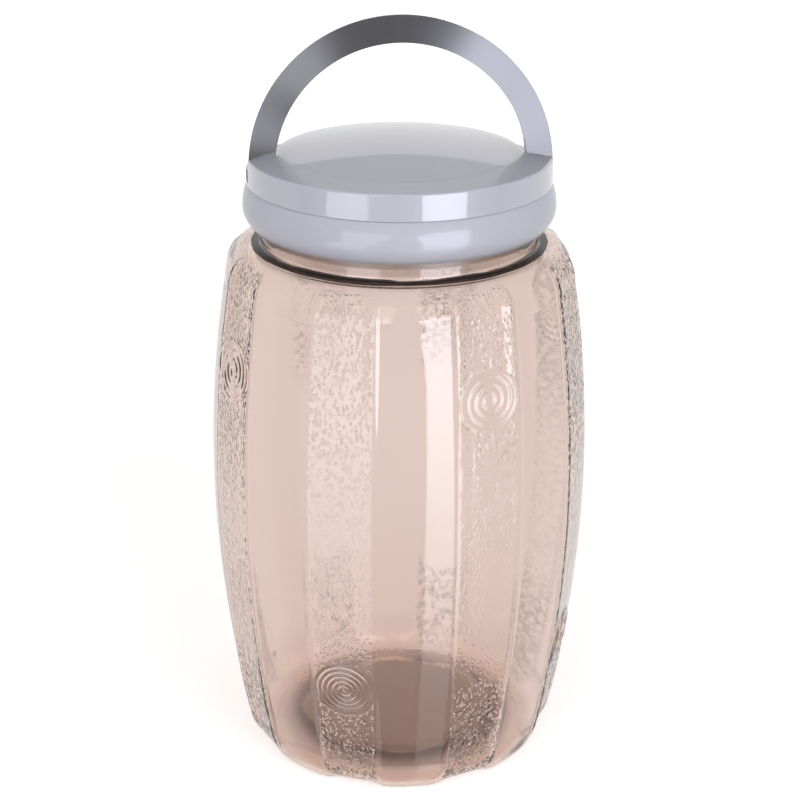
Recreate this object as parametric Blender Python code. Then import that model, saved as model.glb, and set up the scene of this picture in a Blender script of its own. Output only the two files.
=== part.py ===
"""A wide-mouth plastic storage jar with a screw lid and a folding carry handle.

Metres, +Z up. The origin is on the jar's axis, in the plane the jar stands on, and -Y is the front.
The lid is screwed home and the handle stands upright.
"""

import math

import bmesh
import bpy
from mathutils import Matrix, Vector

# Jar: the barrel
BELLY_RADIUS = 0.0806
BELLY_HEIGHT = 0.1260
BARREL_ARC_RADIUS = 0.5200
BARREL_FOOT = 0.0140
BARREL_HEAD = 0.2100
BARREL_STEPS = 7
SHOULDER_HEIGHT = 0.0150
SHOULDER_LEDGE = 0.0045
SHOULDER_STEPS = 5
HEEL_STEPS = 4

# Jar: the foot, a flat ring around a pushed-up base
FOOT_OUTER_RADIUS = 0.0600
FOOT_RING_WIDTH = 0.0055
BASE_RISE = 0.0060
BASE_SLOPE_WIDTH = 0.0165

# Jar: the neck
NECK_RADIUS = 0.0570
NECK_HEIGHT = 0.0217
NECK_FILLET = 0.0020
NECK_WALL = 0.0022
JAR_WALL = 0.0013

# Jar: raised panels between smooth ones
PANEL_PAIRS = 8
PANEL_RISE = 0.0014
PANEL_TURN = math.radians(24.1)
PANEL_FLAT_HALF = math.radians(9.3)
PANEL_FOOT_HALF = math.radians(11.8)
PANEL_START = 0.0040
PANEL_TOP_MARGIN = 0.0015
PANEL_RUNOUT = 0.0080

# Screw thread, right hand
THREAD_LEAD = 0.0045
THREAD_TURNS = 1.25
THREAD_DROP = 0.0070
THREAD_DEPTH = 0.0019
THREAD_ROOT_WIDTH = 0.0018
THREAD_CREST_WIDTH = 0.0008
THREAD_SINK = 0.0004
THREAD_TURN_STEPS = 32
THREAD_TAPER_STEPS = 3
CAP_THREAD_TURNS = 1.0

# Clearance between touching pieces, and how far a cutter runs past what it cuts
GAP = 0.0003
OVERRUN = 0.0040

# Sealing liner
LINER_THICKNESS = 0.0015
LINER_MARGIN = 0.0005

# Screw cap
CAP_CLEARANCE = 0.0004
CAP_DECK_THICKNESS = 0.0020
CAP_SLEEVE_THICKNESS = 0.0014
CAP_SKIRT_THICKNESS = 0.0017
CAP_SKIRT_HEIGHT = 0.0173
CAP_BULGE_HEIGHT_SHARE = 0.43
CAP_BULGE = 0.0018
CAP_LIP_TUCK = 0.0017
CAP_SHOULDER_STEP = 0.0003
CAP_SLEEVE_RAISE = 0.0029
CAP_LIP_THICKNESS = 0.0008
CAP_SPIGOT_HEIGHT = 0.0020
CAP_SPIGOT_WALL = 0.0016
BULGE_STEPS = 4

# Handle collar
COLLAR_OVERHANG = 0.0032
COLLAR_HEIGHT = 0.0109
COLLAR_EDGE_BEVEL = 0.0006
COLLAR_WALL = 0.0025
COLLAR_SHELL = 0.0018
CRESCENT_RISE = 0.0003
CRESCENT_SIDE_RISE = 0.0019

# Dome cover
DOME_LIFT = 0.0002
DOME_EDGE_THICKNESS = 0.0024
DOME_RISE = 0.0050
DOME_EDGE_BEVEL = 0.0005
DOME_SHELL = 0.0020
DOME_SKIRT_WALL = 0.0017
DOME_SKIRT_DEPTH = 0.0060
DOME_STEPS = 4

# Carry handle and its pivot
HANDLE_INSET = 0.0012
HANDLE_WIDTH = 0.0107
HANDLE_CLEARANCE = 0.0005
HANDLE_BEVEL = 0.0005
HANDLE_DRAFT = 0.0010
HANDLE_FACE_LEAN = 0.0020
HANDLE_BACK_OFFSET = 0.0008
HANDLE_ARC_STEPS = 36
HANDLE_TOE_CHAMFER = 0.0020
PIVOT_FORWARD = 0.0035
PIVOT_RISE = 0.0039
LUG_RADIUS = 0.0024
PIN_RADIUS = 0.0016
PIN_CLEARANCE = 0.0003

ROUND_STEPS = 64
PIN_STEPS = 16
SMOOTH_ANGLE = math.radians(35)

# Heights that follow from the stack of pieces, from the shoulder up
SHOULDER_TOP = BARREL_HEAD + SHOULDER_HEIGHT
PANEL_TOP = SHOULDER_TOP - PANEL_TOP_MARGIN
RIM_HEIGHT = SHOULDER_TOP + NECK_HEIGHT
THREAD_START = RIM_HEIGHT - THREAD_DROP
LINER_FOOT = RIM_HEIGHT + GAP
DECK_UNDERSIDE = LINER_FOOT + LINER_THICKNESS + GAP
DECK_TOP = DECK_UNDERSIDE + CAP_DECK_THICKNESS
CAP_LIP_HEIGHT = DECK_TOP - CAP_SKIRT_HEIGHT
CAP_BULGE_HEIGHT = CAP_LIP_HEIGHT + CAP_SKIRT_HEIGHT * CAP_BULGE_HEIGHT_SHARE
CAP_SLEEVE_FOOT = CAP_LIP_HEIGHT + CAP_SLEEVE_RAISE
COLLAR_FOOT = DECK_TOP + GAP
COLLAR_EDGE_HEIGHT = COLLAR_FOOT + COLLAR_HEIGHT
DOME_EDGE_HEIGHT = COLLAR_EDGE_HEIGHT + DOME_LIFT
DOME_SEAT_HEIGHT = DOME_EDGE_HEIGHT - DOME_EDGE_THICKNESS
COLLAR_WALL_HEIGHT = DOME_SEAT_HEIGHT - GAP
PIVOT_HEIGHT = COLLAR_FOOT + PIVOT_RISE
POCKET_FLOOR = PIVOT_HEIGHT - LUG_RADIUS - GAP

# The handle folds down onto the rear deck, and its front face then lies level with the crescent's edge
REAR_DECK_HEIGHT = PIVOT_HEIGHT + HANDLE_BACK_OFFSET - GAP
HANDLE_FACE_OFFSET = COLLAR_EDGE_HEIGHT - PIVOT_HEIGHT

# Radii that follow from the neck, from the thread out to the collar and in again to its bore
THREAD_CREST_RADIUS = NECK_RADIUS + THREAD_DEPTH
CAP_BORE_RADIUS = THREAD_CREST_RADIUS + CAP_CLEARANCE
COLLAR_RADIUS = CAP_BORE_RADIUS + COLLAR_OVERHANG
CAP_BULGE_RADIUS = COLLAR_RADIUS + CAP_BULGE
CAP_LIP_RADIUS = COLLAR_RADIUS - CAP_LIP_TUCK
CAP_SHOULDER_RADIUS = COLLAR_RADIUS - CAP_SHOULDER_STEP
HANDLE_OUTER_RADIUS = COLLAR_RADIUS - HANDLE_INSET
HANDLE_INNER_RADIUS = HANDLE_OUTER_RADIUS - HANDLE_WIDTH
DOME_RADIUS = HANDLE_INNER_RADIUS - HANDLE_CLEARANCE
CRESCENT_INNER_RADIUS = DOME_RADIUS + GAP
COLLAR_WALL_RADIUS = DOME_RADIUS
COLLAR_BORE_RADIUS = COLLAR_WALL_RADIUS - COLLAR_WALL
SHOULDER_INNER_RADIUS = NECK_RADIUS + SHOULDER_LEDGE
FOOT_INNER_RADIUS = FOOT_OUTER_RADIUS - FOOT_RING_WIDTH
BASE_FLAT_RADIUS = FOOT_INNER_RADIUS - BASE_SLOPE_WIDTH

ORIGIN = Vector((0, 0, 0))
LID_AXIS = Vector((0, 0, DECK_TOP))
PIVOT = Vector((0, -PIVOT_FORWARD, PIVOT_HEIGHT))


def material(name, colour, roughness, metallic=0.0, transmission=0.0):
    made = bpy.data.materials.new(name)
    made.use_nodes = True
    shader = made.node_tree.nodes["Principled BSDF"]
    shader.inputs["Base Color"].default_value = (*colour, 1)
    shader.inputs["Roughness"].default_value = roughness
    shader.inputs["Metallic"].default_value = metallic
    shader.inputs["Transmission Weight"].default_value = transmission
    made.diffuse_color = (*colour, 1)
    return made


def add_object(name, mesh, origin, surface):
    """Makes the object of a mesh given in world coordinates, with its origin at the point given."""
    mesh.transform(Matrix.Translation(-origin))
    made = bpy.data.objects.new(name, mesh)
    made.location = origin
    made.data.materials.append(surface)
    bpy.context.scene.collection.objects.link(made)
    return made


def mesh_of(name, build):
    """Makes a mesh with the faces that the function adds, all turned to face out."""
    shape = bmesh.new()
    build(shape)
    bmesh.ops.recalc_face_normals(shape, faces=shape.faces)
    made = bpy.data.meshes.new(name)
    shape.to_mesh(made)
    shape.free()
    return made


def join_rings(shape, rings, closed):
    """Bridges rings of points in order, where a ring of one point is a pole on the axis."""
    pairs = list(zip(rings, rings[1:]))
    if closed:
        pairs.append((rings[-1], rings[0]))
    for low, high in pairs:
        count = max(len(low), len(high))
        for i in range(count):
            j = (i + 1) % count
            if len(low) == 1:
                shape.faces.new((low[0], high[j], high[i]))
            elif len(high) == 1:
                shape.faces.new((low[i], low[j], high[0]))
            else:
                shape.faces.new((low[i], low[j], high[j], high[i]))


def even_angles(count):
    return [math.tau * i / count for i in range(count)]


def lathe(name, outline, angles, place, closed=False):
    """Turns an outline about the axis. place gives a point from an outline entry and an angle."""

    def build(shape):
        rings = []
        for entry in outline:
            used = angles if entry[0] > 0 else angles[:1]
            rings.append([shape.verts.new(place(entry, angle)) for angle in used])
        join_rings(shape, rings, closed)

    return mesh_of(name, build)


def turned(entry, angle):
    radius, height = entry
    return Vector((radius * math.sin(angle), -radius * math.cos(angle), height))


def ellipse_arc(centre, radii, start, end, steps):
    """Points (radius, height) on an ellipse, from one angle above the horizontal to another."""
    points = []
    for i in range(steps + 1):
        angle = start + (end - start) * i / steps
        radius = centre[0] + radii[0] * math.cos(angle)
        points.append((radius, centre[1] + radii[1] * math.sin(angle)))
    return points


def smooth_step(share):
    share = min(max(share, 0.0), 1.0)
    return share * share * (3 - 2 * share)


def prism(name, outline, low, high):
    """A closed prism over an outline in plan."""

    def build(shape):
        rings = [[shape.verts.new((x, y, z)) for x, y in outline] for z in (low, high)]
        join_rings(shape, rings, False)
        for ring in rings:
            shape.faces.new(ring)

    return mesh_of(name, build)


def rod(name, radius, ends, centre):
    """A round bar along X between the two ends."""

    def build(shape):
        rings = []
        for x in ends:
            ring = []
            for angle in even_angles(PIN_STEPS):
                y = centre.y + radius * math.cos(angle)
                ring.append(shape.verts.new((x, y, centre.z + radius * math.sin(angle))))
            rings.append(ring)
        join_rings(shape, rings, False)
        for ring in rings:
            shape.faces.new(ring)

    return mesh_of(name, build)


def helix_ridge(name, root_radius, crest_radius, start_height, turns):
    """A thread ridge whose ends taper away. It is a closed body that sinks into its wall."""
    outward = math.copysign(1, crest_radius - root_radius)
    steps = round(THREAD_TURN_STEPS * turns)

    def build(shape):
        rings = []
        for i in range(steps + 1):
            angle = math.tau * turns * i / steps
            middle = start_height + THREAD_LEAD * angle / math.tau
            fullness = min(1.0, (i + 1) / THREAD_TAPER_STEPS, (steps + 1 - i) / THREAD_TAPER_STEPS)
            crest = root_radius + (crest_radius - root_radius) * fullness
            sunk = root_radius - outward * THREAD_SINK
            root_half = THREAD_ROOT_WIDTH / 2
            crest_half = THREAD_CREST_WIDTH / 2
            section = ((sunk, -root_half), (crest, -crest_half), (crest, crest_half), (sunk, root_half))
            rings.append([shape.verts.new(turned((r, middle + z), angle)) for r, z in section])
        join_rings(shape, rings, False)
        shape.faces.new(rings[0])
        shape.faces.new(rings[-1])

    return mesh_of(name, build)


def combine(target, name, mesh, operation):
    """Adds a hidden helper and the exact Boolean that uses it on the target."""
    helper = bpy.data.objects.new(name, mesh)
    helper.hide_render = True
    helper.display_type = "WIRE"
    bpy.context.scene.collection.objects.link(helper)
    step = target.modifiers.new(name, "BOOLEAN")
    step.operation = operation
    step.solver = "EXACT"
    step.object = helper


def smooth_shading(target):
    target.data.shade_smooth()
    target.data.set_sharp_from_angle(angle=SMOOTH_ANGLE)


# Jar body

def barrel_radius(height):
    """Radius of the smooth panels, on a wide arc whose crest is at the belly."""
    drop = height - BELLY_HEIGHT
    sagitta = BARREL_ARC_RADIUS - math.sqrt(BARREL_ARC_RADIUS**2 - drop**2)
    return BELLY_RADIUS - PANEL_RISE - sagitta


def jar_outer_outline():
    foot_radius = barrel_radius(BARREL_FOOT)
    heel = ellipse_arc(
        (FOOT_OUTER_RADIUS, BARREL_FOOT),
        (foot_radius - FOOT_OUTER_RADIUS, BARREL_FOOT),
        -math.pi / 2,
        0,
        HEEL_STEPS,
    )
    points = [(0, BASE_RISE), (BASE_FLAT_RADIUS, BASE_RISE), (FOOT_INNER_RADIUS, 0)]
    points += heel[:-1]
    for i in range(BARREL_STEPS):
        height = BARREL_FOOT + (BARREL_HEAD - BARREL_FOOT) * i / BARREL_STEPS
        points.append((barrel_radius(height), height))
    points += ellipse_arc(
        (SHOULDER_INNER_RADIUS, BARREL_HEAD),
        (barrel_radius(BARREL_HEAD) - SHOULDER_INNER_RADIUS, SHOULDER_TOP - BARREL_HEAD),
        0,
        math.pi / 2,
        SHOULDER_STEPS,
    )
    points.append((NECK_RADIUS + NECK_FILLET, SHOULDER_TOP))
    points.append((NECK_RADIUS, SHOULDER_TOP + NECK_FILLET))
    points.append((NECK_RADIUS, RIM_HEIGHT))
    return points


def jar_inner_outline(outer):
    """The outer outline moved in by the wall, square to the surface, and given in order from the rim."""
    inner = [(0, BASE_RISE + JAR_WALL)]
    for before, point, after in zip(outer, outer[1:], outer[2:]):
        along = Vector(after) - Vector(before)
        inward = Vector((-along.y, along.x)).normalized()
        wall = NECK_WALL if point[1] > SHOULDER_TOP else JAR_WALL
        inner.append((point[0] + inward.x * wall, point[1] + inward.y * wall))
    inner.append((NECK_RADIUS - NECK_WALL, RIM_HEIGHT))
    return inner[::-1]


def panel_share(height, offset):
    """How far the surface stands out, from 0 on a smooth panel to 1 on a raised one."""
    up = smooth_step((height - PANEL_START) / PANEL_RUNOUT)
    down = smooth_step((PANEL_TOP - height) / PANEL_RUNOUT)
    across = smooth_step((PANEL_FOOT_HALF - abs(offset)) / (PANEL_FOOT_HALF - PANEL_FLAT_HALF))
    return up * down * across


def jar_angles():
    """Angles with an edge at each side wall of each raised panel, as (angle, offset from its middle)."""
    period = math.tau / PANEL_PAIRS
    smooth_width = period - 2 * PANEL_FOOT_HALF
    offsets = [-PANEL_FOOT_HALF, -PANEL_FLAT_HALF, -PANEL_FLAT_HALF / 2, 0, PANEL_FLAT_HALF / 2]
    offsets += [PANEL_FLAT_HALF, PANEL_FOOT_HALF]
    offsets += [PANEL_FOOT_HALF + smooth_width * quarter / 4 for quarter in (1, 2, 3)]
    angles = []
    for pair in range(PANEL_PAIRS):
        for offset in offsets:
            angles.append((PANEL_TURN + pair * period + offset, offset))
    return angles


def jar_point(entry, angle):
    radius, height = entry
    around, offset = angle
    return turned((radius + PANEL_RISE * panel_share(height, offset), height), around)


def make_jar_body():
    plastic = material("smoky_pet", (0.62, 0.47, 0.41), 0.08, transmission=0.9)
    outer = jar_outer_outline()
    mesh = lathe("jar_body", outer + jar_inner_outline(outer), jar_angles(), jar_point)
    body = add_object("jar_body", mesh, ORIGIN, plastic)
    ridge = helix_ridge("neck_thread", NECK_RADIUS, THREAD_CREST_RADIUS, THREAD_START, THREAD_TURNS)
    combine(body, "neck_thread", ridge, "UNION")
    smooth_shading(body)


# Lid

def make_sealing_liner(lid):
    foam = material("liner_foam", (0.86, 0.86, 0.84), 0.75)
    radius = CAP_BORE_RADIUS - LINER_MARGIN
    top = LINER_FOOT + LINER_THICKNESS
    outline = [(0, LINER_FOOT), (radius, LINER_FOOT), (radius, top), (0, top)]
    mesh = lathe("sealing_liner", outline, even_angles(ROUND_STEPS), turned)
    liner = add_object("sealing_liner", mesh, LID_AXIS, foam)
    smooth_shading(liner)
    keep_parent(liner, lid)


def bulge_outline(inset, foot_height, head_height):
    """The skirt's rounded face from its lip to its shoulder, moved in by the inset."""
    points = []
    lower_rise = CAP_BULGE_HEIGHT - CAP_LIP_HEIGHT
    upper_rise = DECK_TOP - CAP_BULGE_HEIGHT
    for i in range(2 * BULGE_STEPS + 1):
        height = foot_height + (head_height - foot_height) * i / (2 * BULGE_STEPS)
        if height < CAP_BULGE_HEIGHT:
            share = (CAP_BULGE_HEIGHT - height) / lower_rise
            radius = CAP_BULGE_RADIUS - (CAP_BULGE_RADIUS - CAP_LIP_RADIUS) * share**2
        else:
            share = (height - CAP_BULGE_HEIGHT) / upper_rise
            radius = CAP_BULGE_RADIUS - (CAP_BULGE_RADIUS - CAP_SHOULDER_RADIUS) * share**2
        points.append((radius - inset, height))
    return points


def make_screw_cap(lid):
    plastic = material("lid_plastic", (0.55, 0.55, 0.61), 0.22)
    spigot_outer = COLLAR_BORE_RADIUS - GAP
    spigot_top = DECK_TOP + CAP_SPIGOT_HEIGHT
    sleeve_outer = CAP_BORE_RADIUS + CAP_SLEEVE_THICKNESS
    cavity_foot = CAP_LIP_HEIGHT + CAP_LIP_THICKNESS
    outline = [(0, DECK_TOP), (spigot_outer - CAP_SPIGOT_WALL, DECK_TOP)]
    outline += [(spigot_outer - CAP_SPIGOT_WALL, spigot_top), (spigot_outer, spigot_top)]
    outline.append((spigot_outer, DECK_TOP))
    outline += bulge_outline(0, CAP_LIP_HEIGHT, DECK_TOP)[::-1]
    outline.append((CAP_BORE_RADIUS, CAP_LIP_HEIGHT))
    outline += bulge_outline(CAP_SKIRT_THICKNESS, cavity_foot, DECK_UNDERSIDE)
    outline += [(sleeve_outer, DECK_UNDERSIDE), (sleeve_outer, CAP_SLEEVE_FOOT)]
    outline += [(CAP_BORE_RADIUS, CAP_SLEEVE_FOOT), (CAP_BORE_RADIUS, DECK_UNDERSIDE), (0, DECK_UNDERSIDE)]
    mesh = lathe("screw_cap", outline, even_angles(ROUND_STEPS), turned)
    cap = add_object("screw_cap", mesh, LID_AXIS, plastic)
    ridge = helix_ridge(
        "cap_thread",
        CAP_BORE_RADIUS,
        NECK_RADIUS + CAP_CLEARANCE,
        THREAD_START - THREAD_LEAD / 2,
        CAP_THREAD_TURNS,
    )
    combine(cap, "cap_thread", ridge, "UNION")
    smooth_shading(cap)
    keep_parent(cap, lid)


def leaned_front(radius):
    """Y of the handle's front face, which leans further forward toward the middle."""
    span = HANDLE_OUTER_RADIUS - HANDLE_INNER_RADIUS
    lean = HANDLE_FACE_LEAN * (HANDLE_OUTER_RADIUS - radius) / span
    return -PIVOT_FORWARD - HANDLE_FACE_OFFSET - lean


def half_ring(inner, outer, front, side):
    """A plan outline behind the front line (side 1) or before it (side -1), from radius inner to outer."""
    points = []
    for radius, order in ((outer, 1), (inner, -1)):
        y = front(radius)
        end = math.acos(-y / radius)
        span = (math.pi - end) if side > 0 else end
        middle = math.pi if side > 0 else 0
        arc = []
        for i in range(ROUND_STEPS // 2 + 1):
            angle = middle - span + 2 * span * i / (ROUND_STEPS // 2)
            arc.append((radius * math.sin(angle), -radius * math.cos(angle)))
        points += arc[::order]
    return points


def collar_point(entry, angle):
    """The crescent's inner edge climbs from the front toward both sides."""
    radius, height, climb = entry
    return turned((radius, height + climb * math.sin(angle) ** 2), angle)


def make_handle_collar(lid):
    plastic = bpy.data.materials["lid_plastic"]
    edge = COLLAR_EDGE_BEVEL
    crescent_height = COLLAR_EDGE_HEIGHT + CRESCENT_RISE
    outline = [
        (COLLAR_BORE_RADIUS, COLLAR_FOOT, 0),
        (COLLAR_RADIUS, COLLAR_FOOT, 0),
        (COLLAR_RADIUS, COLLAR_EDGE_HEIGHT - edge, 0),
        (COLLAR_RADIUS - edge, COLLAR_EDGE_HEIGHT, 0),
        (CRESCENT_INNER_RADIUS, crescent_height, CRESCENT_SIDE_RISE),
        (CRESCENT_INNER_RADIUS, COLLAR_WALL_HEIGHT, 0),
        (COLLAR_BORE_RADIUS, COLLAR_WALL_HEIGHT, 0),
    ]
    mesh = lathe("handle_collar", outline, even_angles(ROUND_STEPS), collar_point, closed=True)
    collar = add_object("handle_collar", mesh, LID_AXIS, plastic)

    # The recess that the handle folds into, and a pocket under each leg
    past = COLLAR_RADIUS + OVERRUN
    sky = COLLAR_EDGE_HEIGHT + CRESCENT_SIDE_RISE + OVERRUN

    def end_line(radius):
        return leaned_front(radius) - GAP

    recess = prism("rear_recess", half_ring(COLLAR_WALL_RADIUS, past, end_line, 1), REAR_DECK_HEIGHT, sky)
    combine(collar, "rear_recess", recess, "DIFFERENCE")
    pocket_back = -PIVOT_FORWARD + LUG_RADIUS + GAP
    for side, name in ((-1, "left_pocket"), (1, "right_pocket")):
        plan = [(COLLAR_WALL_RADIUS, end_line(COLLAR_WALL_RADIUS)), (past, end_line(past))]
        plan += [(past, pocket_back), (COLLAR_WALL_RADIUS, pocket_back)]
        plan = [(side * x, y) for x, y in plan]
        combine(collar, name, prism(name, plan, POCKET_FLOOR, REAR_DECK_HEIGHT + OVERRUN), "DIFFERENCE")

    # The hollows on the underside, kept clear of the pockets
    hollow_inner = CRESCENT_INNER_RADIUS + COLLAR_SHELL
    hollow_outer = COLLAR_RADIUS - COLLAR_SHELL
    low = COLLAR_FOOT - OVERRUN
    front_plan = half_ring(hollow_inner, hollow_outer, lambda radius: end_line(radius) - COLLAR_SHELL, -1)
    rear_plan = half_ring(hollow_inner, hollow_outer, lambda radius: pocket_back + COLLAR_SHELL, 1)
    front = prism("front_hollow", front_plan, low, COLLAR_EDGE_HEIGHT - COLLAR_SHELL)
    rear = prism("rear_hollow", rear_plan, low, REAR_DECK_HEIGHT - COLLAR_SHELL)
    combine(collar, "front_hollow", front, "DIFFERENCE")
    combine(collar, "rear_hollow", rear, "DIFFERENCE")

    for side, name in ((-1, "left_pin_hole"), (1, "right_pin_hole")):
        ends = (side * (COLLAR_BORE_RADIUS - OVERRUN), side * (COLLAR_WALL_RADIUS + OVERRUN))
        combine(collar, name, rod(name, PIN_RADIUS + PIN_CLEARANCE, ends, PIVOT), "DIFFERENCE")
    smooth_shading(collar)
    keep_parent(collar, lid)


def dome_outline(radius, edge_height, rise):
    """A shallow spherical cap from its edge to just short of its top."""
    sphere = (radius**2 + rise**2) / (2 * rise)
    points = []
    for i in range(DOME_STEPS):
        reach = radius * (DOME_STEPS - i) / DOME_STEPS
        points.append((reach, edge_height + rise - sphere + math.sqrt(sphere**2 - reach**2)))
    return points


def make_dome_cover(lid):
    plastic = bpy.data.materials["lid_plastic"]
    skirt_outer = COLLAR_BORE_RADIUS - GAP
    skirt_inner = skirt_outer - DOME_SKIRT_WALL
    skirt_foot = DOME_SEAT_HEIGHT - DOME_SKIRT_DEPTH
    inner = dome_outline(skirt_inner, DOME_EDGE_HEIGHT - DOME_SHELL, DOME_RISE)
    outline = [(0, DOME_EDGE_HEIGHT - DOME_SHELL + DOME_RISE)]
    outline += inner[::-1]
    outline += [(skirt_inner, skirt_foot), (skirt_outer, skirt_foot), (skirt_outer, DOME_SEAT_HEIGHT)]
    outline += [(DOME_RADIUS, DOME_SEAT_HEIGHT), (DOME_RADIUS, DOME_EDGE_HEIGHT - DOME_EDGE_BEVEL)]
    outline += dome_outline(DOME_RADIUS - DOME_EDGE_BEVEL, DOME_EDGE_HEIGHT, DOME_RISE)
    outline.append((0, DOME_EDGE_HEIGHT + DOME_RISE))
    mesh = lathe("dome_cover", outline, even_angles(ROUND_STEPS), turned)
    dome = add_object("dome_cover", mesh, LID_AXIS, plastic)
    smooth_shading(dome)
    keep_parent(dome, lid)


# Carry handle

def handle_section():
    """The band's outline as (radius, y), bevelled at its four edges and narrower at the back."""
    back = -PIVOT_FORWARD - HANDLE_BACK_OFFSET
    cut = HANDLE_BEVEL
    inner = HANDLE_INNER_RADIUS
    outer = HANDLE_OUTER_RADIUS
    back_outer = outer - HANDLE_DRAFT
    return [
        (inner, leaned_front(inner) + cut),
        (inner + cut, leaned_front(inner + cut)),
        (outer - cut, leaned_front(outer - cut)),
        (outer, leaned_front(outer) + cut),
        (back_outer, back - cut),
        (back_outer - cut, back),
        (inner + cut, back),
        (inner, back - cut),
    ]


def make_carry_handle(lid):
    plastic = material("handle_plastic", (0.16, 0.16, 0.18), 0.30, metallic=0.4)
    section = handle_section()
    centre = PIVOT_HEIGHT + PIVOT_FORWARD
    toe = PIVOT_HEIGHT - LUG_RADIUS

    def build(shape):
        rings = []
        for i in range(HANDLE_ARC_STEPS + 1):
            angle = math.pi * i / HANDLE_ARC_STEPS
            ring = [(r * math.cos(angle), y, centre + r * math.sin(angle)) for r, y in section]
            rings.append([shape.verts.new(point) for point in ring])
        legs = []
        for side in (1, -1):
            upper = [(side * r, y, toe + HANDLE_TOE_CHAMFER) for r, y in section]
            lower = [(side * r, max(y, leaned_front(r) + HANDLE_TOE_CHAMFER), toe) for r, y in section]
            legs.append([[shape.verts.new(point) for point in ring] for ring in (lower, upper)])
        rings = legs[0] + rings + legs[1][::-1]
        join_rings(shape, rings, False)
        shape.faces.new(rings[0])
        shape.faces.new(rings[-1])

    handle = add_object("carry_handle", mesh_of("carry_handle", build), PIVOT, plastic)
    for side, word in ((-1, "left"), (1, "right")):
        cut = HANDLE_BEVEL
        lug_ends = (side * (HANDLE_INNER_RADIUS + cut), side * (HANDLE_OUTER_RADIUS - HANDLE_DRAFT - cut))
        combine(handle, word + "_lug", rod(word + "_lug", LUG_RADIUS, lug_ends, PIVOT), "UNION")
        pin_tip = COLLAR_BORE_RADIUS + GAP
        pin_ends = (side * pin_tip, side * (HANDLE_INNER_RADIUS + cut + PIN_RADIUS))
        combine(handle, word + "_pin", rod(word + "_pin", PIN_RADIUS, pin_ends, PIVOT), "UNION")
    smooth_shading(handle)
    keep_parent(handle, lid)


def keep_parent(child, parent):
    """Parents the child and leaves it where it stands."""
    child.parent = parent
    child.location = child.location - parent.location


def main():
    for old in list(bpy.data.objects):
        bpy.data.objects.remove(old, do_unlink=True)
    lid = bpy.data.objects.new("lid_axis", None)
    lid.location = LID_AXIS
    bpy.context.scene.collection.objects.link(lid)
    make_jar_body()
    make_sealing_liner(lid)
    make_screw_cap(lid)
    make_handle_collar(lid)
    make_dome_cover(lid)
    make_carry_handle(lid)


main()
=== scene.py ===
import math

import bmesh
import bpy
import numpy as np
from mathutils import Matrix, Vector


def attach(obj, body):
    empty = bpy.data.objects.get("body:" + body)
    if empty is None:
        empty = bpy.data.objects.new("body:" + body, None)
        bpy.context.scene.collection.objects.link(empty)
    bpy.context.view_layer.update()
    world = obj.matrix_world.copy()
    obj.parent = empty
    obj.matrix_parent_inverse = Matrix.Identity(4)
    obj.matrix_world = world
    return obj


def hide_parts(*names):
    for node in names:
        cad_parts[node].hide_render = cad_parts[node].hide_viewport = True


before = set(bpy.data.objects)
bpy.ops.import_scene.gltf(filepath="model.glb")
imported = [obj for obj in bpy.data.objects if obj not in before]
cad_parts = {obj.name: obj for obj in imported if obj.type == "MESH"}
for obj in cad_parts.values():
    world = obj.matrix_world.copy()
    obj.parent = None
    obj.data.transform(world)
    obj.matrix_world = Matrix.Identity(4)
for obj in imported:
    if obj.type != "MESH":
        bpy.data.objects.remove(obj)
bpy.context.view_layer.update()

MM = 0.001

# Jar body, in millimetres
BELLY_RADIUS = 79.2
BELLY_HEIGHT = 126.0
BARREL_ARC_RADIUS = 520.0
BARREL_FOOT = 14.0
BARREL_HEAD = 210.0
SHOULDER_TOP = 225.0
SHOULDER_INNER_RADIUS = 61.5
NECK_RADIUS = 57.0
NECK_FILLET = 1.6
NECK_WALL = 2.2
JAR_WALL = 1.3
RIM_HEIGHT = 246.7
FOOT_OUTER_RADIUS = 59.0
FOOT_INNER_RADIUS = 54.5
BASE_RISE = 6.0
BASE_STEP_RADIUS = 41.0
BASE_LOBE = 1.2
BASE_WALL = 2.6
ROW_STEP = 0.52

# Raised panels
PANEL_PAIRS = 8
PANEL_TURN = math.radians(24.1)
PANEL_HALF = math.radians(12.0)
PANEL_RISE = 1.3
PANEL_EDGE = 3.2
PANEL_TOP_RUNOUT = 9.0
PANEL_FOOT_RUNOUT = 12.0
PANEL_DISH = 2.3
PANEL_CORNER = 6.0
PANEL_FOOT_HEIGHT = 3.0
PANEL_TOP_INSET = 3.0
PANEL_COLUMNS = 72
SMOOTH_COLUMNS = 10
PANEL_FOOT_INSET = 2.2
PANEL_FOOT_LIFT = 0.5
BARK_DEPTH = 0.13

# Spirals, as the height of the middle and the panel they start on
SPIRAL_RADIUS = 12.3
UPPER_SPIRAL_PITCH = 3.4
LOWER_SPIRAL_PITCH = 2.3
SPIRAL_DEPTH = 0.42
UPPER_SPIRAL_HEIGHT = 180.0
LOWER_SPIRAL_HEIGHT = 52.0

# Screw thread
THREAD_LEAD = 4.5
THREAD_START = 239.7
THREAD_DEPTH = 1.9
THREAD_ROOT_HALF = 0.9
THREAD_CREST_HALF = 0.4
THREAD_SINK = 0.4

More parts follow.
